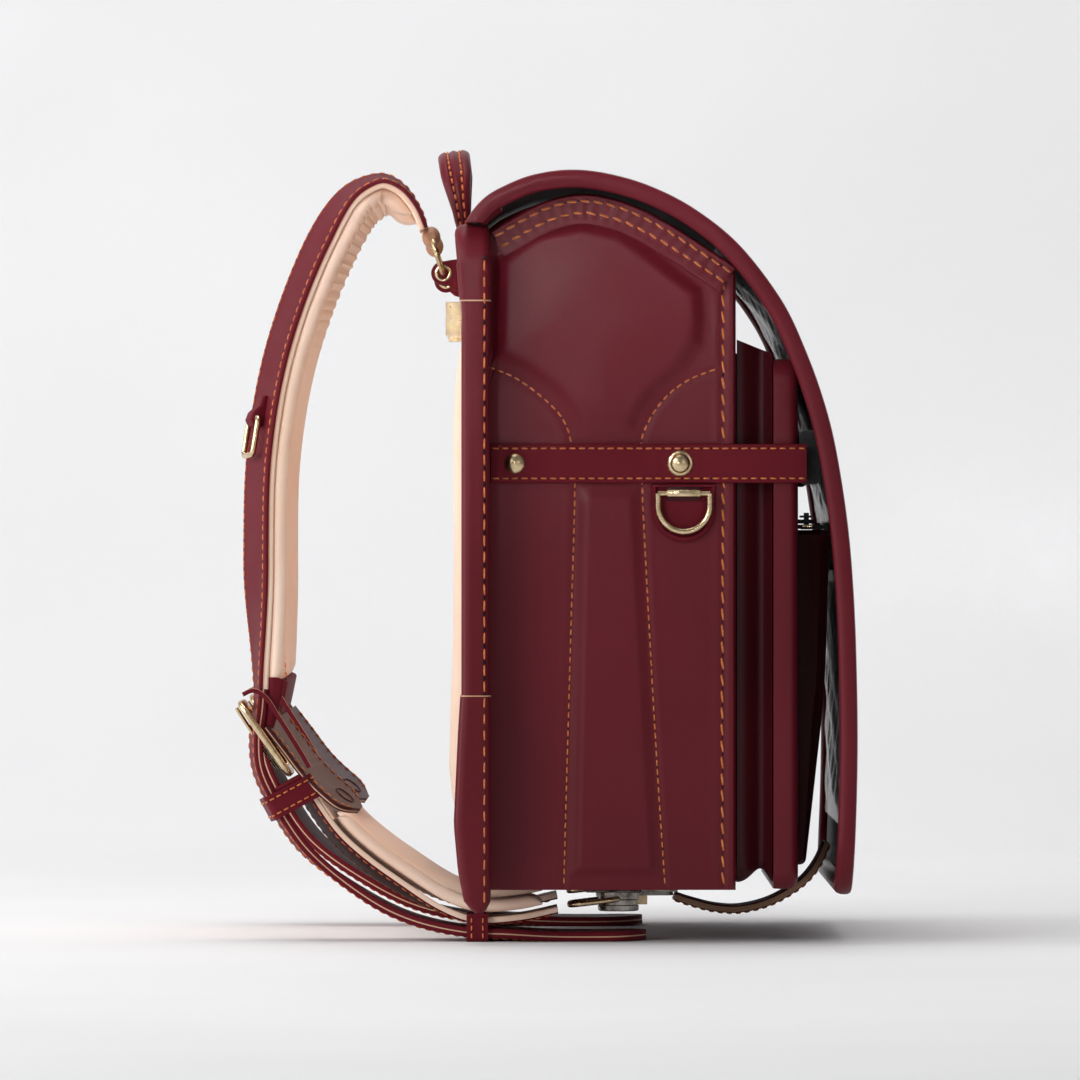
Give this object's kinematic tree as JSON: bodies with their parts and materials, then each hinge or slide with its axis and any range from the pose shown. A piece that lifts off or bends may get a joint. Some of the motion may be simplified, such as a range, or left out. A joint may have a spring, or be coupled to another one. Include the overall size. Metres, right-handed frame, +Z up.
{
  "type": "satchel backpack",
  "caption": "Rigid leather school backpack with a wrap-over flap, padded shoulder straps, front pockets, carry handle and turn lock.",
  "frame": {"origin": "on the floor, below the middle of the bounding box", "axes": "+Z up; X across the width; +Y towards the wearer's back, -Y towards the front of the flap"},
  "size_m": [0.3, 0.2958, 0.3814],
  "materials": {
    "leather_panel": "smooth semi-gloss cordovan-brown leather",
    "leather_dark": "smooth semi-gloss leather in shade, near black",
    "leather_edge": "rolled glossy edge leather",
    "cream_pad": "matte natural-coloured soft leather over foam",
    "lining": "black lining cloth",
    "aged_brass": "antique satin",
    "steel_dark": "darkened, satin",
    "clear_vinyl": "clear and glossy"
  },
  "bodies": {
    "satchel": {"back_board": "leather_dark", "back_cushion": "cream_pad", "back_binding": "leather_edge", "side_panel_left": "leather_panel", "side_panel_right": "leather_panel", "bottom_panel": "leather_panel", "front_wall": "lining", "pocket_gusset": "leather_dark", "pocket_front": "leather_panel", "zip_pocket": "leather_dark", "zipper_tape": "lining", "lock_body": "steel_dark", "sekan_bracket": "aged_brass", "side_belt_left": "leather_panel", "belt_rivet_left": "aged_brass", "belt_snap_left": "aged_brass", "dring_mount_left": "leather_panel", "strap_anchor_left": "leather_edge", "strap_post_left": "steel_dark", "side_belt_right": "leather_panel", "belt_rivet_right": "aged_brass", "belt_snap_right": "aged_brass", "dring_mount_right": "leather_panel", "strap_anchor_right": "leather_edge", "strap_post_right": "steel_dark"},
    "flap": {"flap_panel": "leather_panel", "flap_rim": "leather_edge", "flap_window": "clear_vinyl", "closing_strap": "leather_panel", "closing_plate": "steel_dark"},
    "handle": {"handle": "leather_panel"},
    "lock_knob": {"lock_knob": "aged_brass"},
    "zipper_slider": {"zipper_slider": "aged_brass"},
    "zipper_pull": {"zipper_pull": "aged_brass"},
    "strap_loop_left": {"shoulder_strap_left": "leather_panel", "strap_pad_left": "cream_pad", "strap_ring_left": "aged_brass", "bottom_ring_left": "aged_brass", "buckle_frame_left": "aged_brass", "keeper_upper_left": "leather_panel", "lower_belt_left": "leather_panel", "lower_pad_left": "cream_pad", "buckle_shield_left": "leather_dark"},
    "buckle_prong_left": {"buckle_prong_left": "aged_brass"},
    "strap_dring_left": {"strap_dring_left": "aged_brass"},
    "side_dring_left": {"side_dring_left": "aged_brass"},
    "strap_loop_right": {"shoulder_strap_right": "leather_panel", "strap_pad_right": "cream_pad", "strap_ring_right": "aged_brass", "bottom_ring_right": "aged_brass", "buckle_frame_right": "aged_brass", "keeper_upper_right": "leather_panel", "lower_belt_right": "leather_panel", "lower_pad_right": "cream_pad", "buckle_shield_right": "leather_dark"},
    "buckle_prong_right": {"buckle_prong_right": "aged_brass"},
    "strap_dring_right": {"strap_dring_right": "aged_brass"},
    "side_dring_right": {"side_dring_right": "aged_brass"}
  },
  "joints": [
    {"name": "flap_hinge", "type": "hinge", "parent": "satchel", "child": "flap", "pos_m": [0, 0.03738, 0.3403], "axis": [-1, 0, 0], "range_deg": [0, 95], "deforming": ["closing_strap", "closing_plate"]},
    {"name": "handle_tilt", "type": "hinge", "parent": "satchel", "child": "handle", "pos_m": [0, 0.03908, 0.3445], "axis": [-1, 0, 0], "range_deg": [0, 80]},
    {"name": "lock_turn", "type": "hinge", "parent": "satchel", "child": "lock_knob", "pos_m": [0, -0.04292, 0.02], "axis": [0, 0, 1], "range_deg": [0, 90]},
    {"name": "zip_travel", "type": "slide", "parent": "satchel", "child": "zipper_slider", "axis": [1, 0, 0], "range_m": [0, 0.172]},
    {"name": "zip_pull_swing", "type": "hinge", "parent": "zipper_slider", "child": "zipper_pull", "pos_m": [-0.086, -0.12542, 0.2022], "axis": [0, -1, 0], "range_deg": [0, 110]},
    {"name": "strap_swing_left", "type": "hinge", "parent": "satchel", "child": "strap_loop_left", "pos_m": [-0.066, 0.04828, 0.319], "axis": [0.0707, 0.2689, 0.9606], "range_deg": [-4, 10]},
    {"name": "prong_lift_left", "type": "hinge", "parent": "strap_loop_left", "child": "buckle_prong_left", "pos_m": [-0.088, 0.12168, 0.0808], "axis": [-1, 0, 0], "range_deg": [0, 8]},
    {"name": "strap_dring_swing_left", "type": "hinge", "parent": "strap_loop_left", "child": "strap_dring_left", "pos_m": [-0.07588, 0.13875, 0.2493], "axis": [0.9515, 0.3036, -0.0509], "range_deg": [0, 100]},
    {"name": "side_dring_swing_left", "type": "hinge", "parent": "satchel", "child": "side_dring_left", "pos_m": [-0.1293, -0.06632, 0.213], "axis": [0, 1, 0], "range_deg": [0, 140]},
    {"name": "strap_swing_right", "type": "hinge", "parent": "satchel", "child": "strap_loop_right", "pos_m": [0.066, 0.04828, 0.319], "axis": [0.0707, -0.2689, -0.9606], "range_deg": [-4, 10]},
    {"name": "prong_lift_right", "type": "hinge", "parent": "strap_loop_right", "child": "buckle_prong_right", "pos_m": [0.088, 0.12168, 0.0808], "axis": [-1, 0, 0], "range_deg": [0, 8]},
    {"name": "strap_dring_swing_right", "type": "hinge", "parent": "strap_loop_right", "child": "strap_dring_right", "pos_m": [0.07588, 0.13875, 0.2493], "axis": [0.9515, -0.3036, 0.0509], "range_deg": [0, 100]},
    {"name": "side_dring_swing_right", "type": "hinge", "parent": "satchel", "child": "side_dring_right", "pos_m": [0.1293, -0.06632, 0.213], "axis": [0, -1, 0], "range_deg": [0, 140]}
  ],
  "couplings": [
    {"joint": "handle_tilt", "follows": "flap_hinge", "ratio": 0.8}
  ]
}
